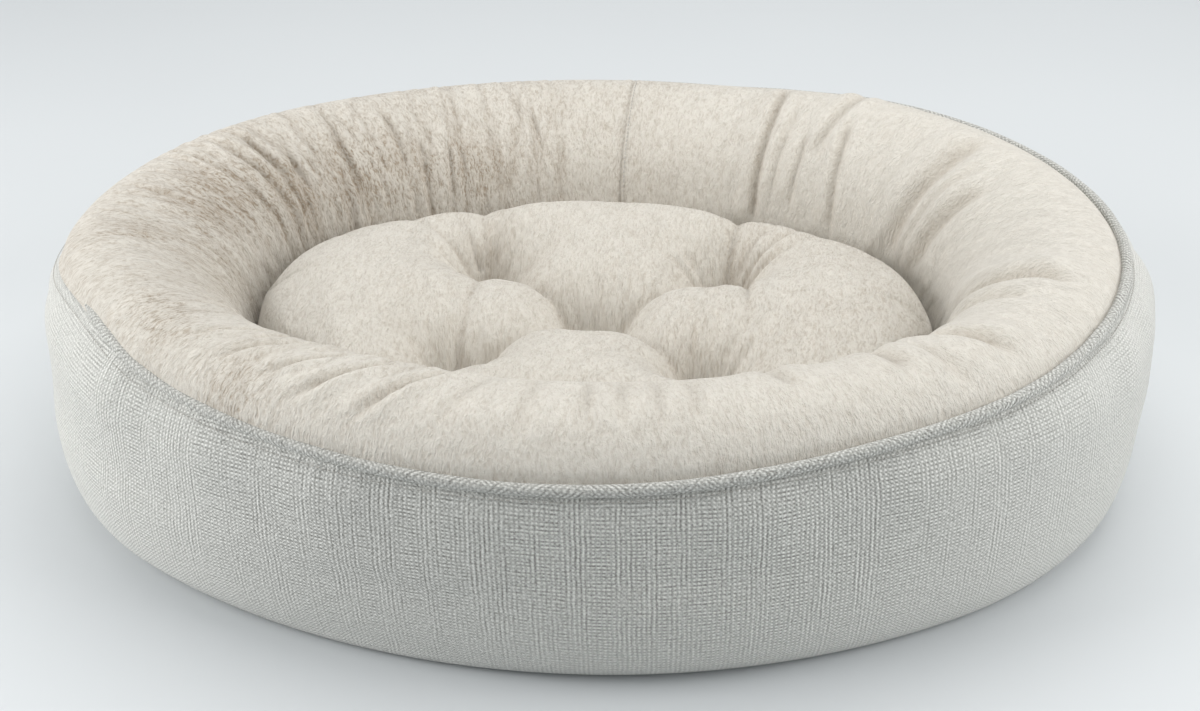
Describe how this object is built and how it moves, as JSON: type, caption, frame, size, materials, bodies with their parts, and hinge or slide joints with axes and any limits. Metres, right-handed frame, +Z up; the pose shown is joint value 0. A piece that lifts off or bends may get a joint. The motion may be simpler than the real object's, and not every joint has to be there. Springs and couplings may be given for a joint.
{
  "type": "pet cushion bed",
  "caption": "Oval pet bed: a stuffed bolster with a woven outer wall, plush rim and piping around a thick tufted plush cushion that lifts out.",
  "frame": {"origin": "on the floor, under the middle of the oval", "axes": "+X along the oval's length, +Y across it towards the back of the bed, +Z up"},
  "size_m": [0.8998, 0.7408, 0.2],
  "materials": {
    "linen": "slubby plain weave, matt",
    "plush": "short pile plush, matt",
    "fibre": "polyester fibre and cotton cord",
    "base_cloth": "plain cloth",
    "thread": "sewing thread",
    "button": "plain moulded button"
  },
  "bodies": {
    "bolster": {"wall_panel": "linen", "wall_join_thread": "thread", "bolster_plush": "plush", "plush_join_thread": "thread", "bolster_fill": "fibre", "piping_cover": "linen", "piping_cord": "fibre", "piping_thread": "thread", "base_panel": "base_cloth", "base_thread": "thread", "floor_wadding": "fibre", "floor_lining": "base_cloth", "floor_thread": "thread"},
    "cushion": {"cushion_top": "plush", "cushion_underside": "base_cloth", "cushion_fill": "fibre", "cushion_edge_thread": "thread", "tuft_ties": "thread", "tuft_buttons": "button"}
  },
  "joints": [
    {"name": "cushion_lift", "type": "slide", "parent": "bolster", "child": "cushion", "axis": [0, 0, 1], "range_m": [0, 0.25]}
  ]
}
